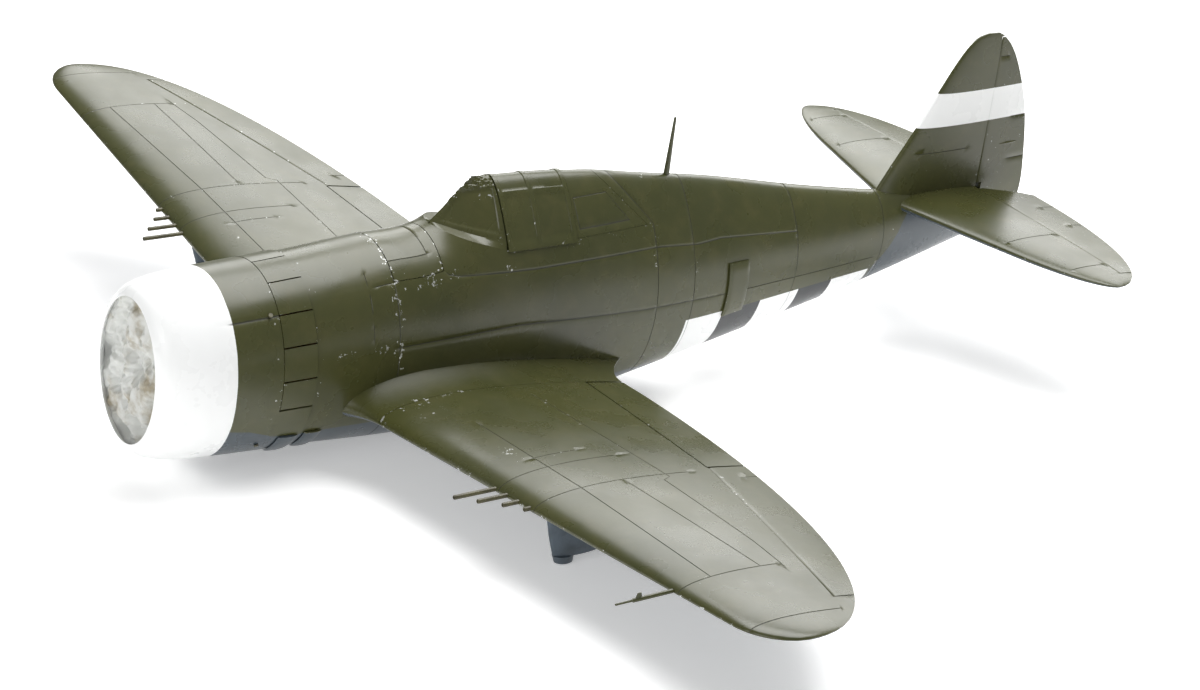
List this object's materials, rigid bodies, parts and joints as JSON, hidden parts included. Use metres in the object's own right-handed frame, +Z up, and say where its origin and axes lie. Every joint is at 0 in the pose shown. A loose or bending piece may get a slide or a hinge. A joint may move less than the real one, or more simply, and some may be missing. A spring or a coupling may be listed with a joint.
{
  "type": "rc warbird plane",
  "caption": "Radio-controlled model of a radial-engined fighter, caught part-painted: hinged control surfaces, sliding hood, servo linkages, tissue-packed cowl, no propeller or wheels.",
  "frame": {"origin": "middle of the span and of the length, on the plane of the belly's lowest point", "axes": "+X to the pilot's left, +Y aft along the thrust line, +Z up"},
  "size_m": [1.0356, 0.8774, 0.2729],
  "materials": {
    "olive_paint": "semi-gloss olive drab enamel, panel lines engraved, chipped along edges",
    "white_paint": "satin white",
    "sea_grey_paint": "satin blue-grey underside",
    "cockpit_green": "matt interior green",
    "black_plastic": "satin moulded",
    "servo_blue": "translucent-look dark blue moulded",
    "white_nylon": "moulded nylon",
    "plywood": "bare light ply",
    "carbon_tube": "wound carbon tube",
    "gun_metal": "olive drab over metal tube",
    "steel_wire": "drawn wire",
    "cast_alloy": "as cast",
    "motor_black": "black anodised",
    "battery_wrap": "blue heat-shrink",
    "tissue": "crumpled masking tissue"
  },
  "bodies": {
    "airframe": {"fuselage_left": "olive_paint", "fuselage_right": "olive_paint", "cowling": "white_paint", "cowl_flaps": "olive_paint", "windscreen": "olive_paint", "rear_quarter_glazing": "olive_paint", "cockpit_tub": "cockpit_green", "pilot_seat": "cockpit_green", "instrument_panel": "black_plastic", "antenna_mast": "olive_paint", "wing_fillets": "olive_paint", "left_wing_upper_skin": "olive_paint", "left_wing_lower_skin": "sea_grey_paint", "right_wing_upper_skin": "olive_paint", "right_wing_lower_skin": "sea_grey_paint", "wing_ribs": "plywood", "wing_spars": "carbon_tube", "gun_barrels": "gun_metal", "pitot_tube": "olive_paint", "pylons": "sea_grey_paint", "tailplane": "olive_paint", "fin": "olive_paint", "intercooler_doors": "olive_paint", "firewall": "plywood", "motor_mount": "cast_alloy", "motor_stator": "cast_alloy", "dummy_crankcase": "cast_alloy", "dummy_cylinders": "black_plastic", "formers": "plywood", "flight_battery": "battery_wrap", "speed_controller": "black_plastic", "receiver": "black_plastic", "servos": "servo_blue", "hinges": "steel_wire", "screws": "steel_wire"},
    "motor_rotor": {"motor_bell": "motor_black", "prop_adapter": "cast_alloy"},
    "canopy": {"canopy_hood": "olive_paint"},
    "hatch": {"battery_hatch": "olive_paint"},
    "tissue": {"masking_tissue": "tissue"},
    "aileron_left_surface": {"aileron_left": "olive_paint"},
    "aileron_left_servo_arm": {"aileron_arm_left": "white_nylon"},
    "aileron_left_pushrod": {"aileron_rod_left": "steel_wire"},
    "aileron_right_surface": {"aileron_right": "olive_paint"},
    "aileron_right_servo_arm": {"aileron_arm_right": "white_nylon"},
    "aileron_right_pushrod": {"aileron_rod_right": "steel_wire"},
    "flap_left_surface": {"flap_left": "olive_paint"},
    "flap_left_servo_arm": {"flap_arm_left": "white_nylon"},
    "flap_left_pushrod": {"flap_rod_left": "steel_wire"},
    "flap_right_surface": {"flap_right": "olive_paint"},
    "flap_right_servo_arm": {"flap_arm_right": "white_nylon"},
    "flap_right_pushrod": {"flap_rod_right": "steel_wire"},
    "elevators": {"elevator_left": "olive_paint", "elevator_right": "olive_paint", "elevator_joiner": "steel_wire"},
    "elevator_servo_arm": {"elevator_arm": "white_nylon"},
    "elevator_pushrod": {"elevator_rod": "steel_wire"},
    "rudder_blade": {"rudder": "olive_paint"},
    "rudder_servo_arm": {"rudder_arm": "white_nylon"},
    "rudder_pushrod": {"rudder_rod": "steel_wire"}
  },
  "joints": [
    {"name": "motor_spin", "type": "hinge", "parent": "airframe", "child": "motor_rotor", "pos_m": [0, -0.37875, 0.092], "axis": [0, 1, 0], "continuous": true},
    {"name": "canopy_slide", "type": "slide", "parent": "airframe", "child": "canopy", "axis": [0, 0.9986, 0.0523], "range_m": [0, 0.058]},
    {"name": "hatch_lift", "type": "slide", "parent": "airframe", "child": "hatch", "axis": [0, 0, 1], "range_m": [0, 0.06]},
    {"name": "tissue_pull", "type": "slide", "parent": "airframe", "child": "tissue", "axis": [0, -1, 0], "range_m": [0, 0.06]},
    {"name": "aileron_left_hinge", "type": "hinge", "parent": "airframe", "child": "aileron_left_surface", "pos_m": [0.33, -0.12592, 0.08339], "axis": [-0.9538, 0.2795, -0.1104], "range_deg": [-20, 20]},
    {"name": "aileron_left_arm_turn", "type": "hinge", "parent": "airframe", "child": "aileron_left_servo_arm", "pos_m": [0.31257, -0.18541, 0.08339], "axis": [-0.9538, 0.2795, -0.1104], "range_deg": [-25, 25]},
    {"name": "aileron_left_rod_turn", "type": "hinge", "parent": "aileron_left_servo_arm", "child": "aileron_left_pushrod", "pos_m": [0.31405, -0.18585, 0.06948], "axis": [-0.9538, 0.2795, -0.1104], "range_deg": [-25, 25]},
    {"name": "aileron_right_hinge", "type": "hinge", "parent": "airframe", "child": "aileron_right_surface", "pos_m": [-0.33, -0.12592, 0.08339], "axis": [-0.9538, -0.2795, 0.1104], "range_deg": [-20, 20]},
    {"name": "aileron_right_arm_turn", "type": "hinge", "parent": "airframe", "child": "aileron_right_servo_arm", "pos_m": [-0.31257, -0.18541, 0.08339], "axis": [-0.9538, -0.2795, 0.1104], "range_deg": [-25, 25]},
    {"name": "aileron_right_rod_turn", "type": "hinge", "parent": "aileron_right_servo_arm", "child": "aileron_right_pushrod", "pos_m": [-0.31405, -0.18585, 0.06948], "axis": [-0.9538, -0.2795, 0.1104], "range_deg": [-25, 25]},
    {"name": "flap_left_hinge", "type": "hinge", "parent": "airframe", "child": "flap_left_surface", "pos_m": [0.172, -0.09815, 0.06196], "axis": [-0.9857, 0.1232, -0.1151], "range_deg": [0, 40]},
    {"name": "flap_left_arm_turn", "type": "hinge", "parent": "airframe", "child": "flap_left_servo_arm", "pos_m": [0.16347, -0.1636, 0.06494], "axis": [-0.9857, 0.1232, -0.1151], "range_deg": [-5, 45]},
    {"name": "flap_left_rod_turn", "type": "hinge", "parent": "flap_left_servo_arm", "child": "flap_left_pushrod", "pos_m": [0.16507, -0.1638, 0.05104], "axis": [-0.9857, 0.1232, -0.1151], "range_deg": [-45, 5]},
    {"name": "flap_right_hinge", "type": "hinge", "parent": "airframe", "child": "flap_right_surface", "pos_m": [-0.172, -0.09815, 0.06196], "axis": [-0.9857, -0.1232, 0.1151], "range_deg": [0, 40]},
    {"name": "flap_right_arm_turn", "type": "hinge", "parent": "airframe", "child": "flap_right_servo_arm", "pos_m": [-0.16347, -0.1636, 0.06494], "axis": [-0.9857, -0.1232, 0.1151], "range_deg": [-5, 45]},
    {"name": "flap_right_rod_turn", "type": "hinge", "parent": "flap_right_servo_arm", "child": "flap_right_pushrod", "pos_m": [-0.16507, -0.1638, 0.05104], "axis": [-0.9857, -0.1232, 0.1151], "range_deg": [-45, 5]},
    {"name": "elevator_hinge", "type": "hinge", "parent": "airframe", "child": "elevators", "pos_m": [0, 0.37925, 0.1268], "axis": [1, 0, 0], "range_deg": [-20, 20]},
    {"name": "elevator_arm_turn", "type": "hinge", "parent": "airframe", "child": "elevator_servo_arm", "pos_m": [-0.017, -0.04675, 0.1268], "axis": [1, 0, 0], "range_deg": [-25, 25]},
    {"name": "elevator_rod_turn", "type": "hinge", "parent": "elevator_servo_arm", "child": "elevator_pushrod", "pos_m": [-0.017, -0.04675, 0.1168], "axis": [1, 0, 0], "range_deg": [-25, 25]},
    {"name": "rudder_hinge", "type": "hinge", "parent": "airframe", "child": "rudder_blade", "pos_m": [0, 0.38125, 0.092], "axis": [0, 0, 1], "range_deg": [-25, 25]},
    {"name": "rudder_arm_turn", "type": "hinge", "parent": "airframe", "child": "rudder_servo_arm", "pos_m": [0, 0.00125, 0.098], "axis": [0, 0, 1], "range_deg": [-30, 30]},
    {"name": "rudder_rod_turn", "type": "hinge", "parent": "rudder_servo_arm", "child": "rudder_pushrod", "pos_m": [-0.012, 0.00125, 0.098], "axis": [0, 0, 1], "range_deg": [-30, 30]}
  ],
  "couplings": [
    {"joint": "aileron_left_arm_turn", "follows": "aileron_left_hinge", "ratio": 1},
    {"joint": "aileron_left_rod_turn", "follows": "aileron_left_hinge", "ratio": -1},
    {"joint": "aileron_right_arm_turn", "follows": "aileron_right_hinge", "ratio": 1},
    {"joint": "aileron_right_rod_turn", "follows": "aileron_right_hinge", "ratio": -1},
    {"joint": "flap_left_arm_turn", "follows": "flap_left_hinge", "ratio": 1},
    {"joint": "flap_left_rod_turn", "follows": "flap_left_hinge", "ratio": -1},
    {"joint": "flap_right_arm_turn", "follows": "flap_right_hinge", "ratio": 1},
    {"joint": "flap_right_rod_turn", "follows": "flap_right_hinge", "ratio": -1},
    {"joint": "elevator_arm_turn", "follows": "elevator_hinge", "ratio": 1},
    {"joint": "elevator_rod_turn", "follows": "elevator_hinge", "ratio": -1},
    {"joint": "rudder_arm_turn", "follows": "rudder_hinge", "ratio": 1},
    {"joint": "rudder_rod_turn", "follows": "rudder_hinge", "ratio": -1}
  ]
}
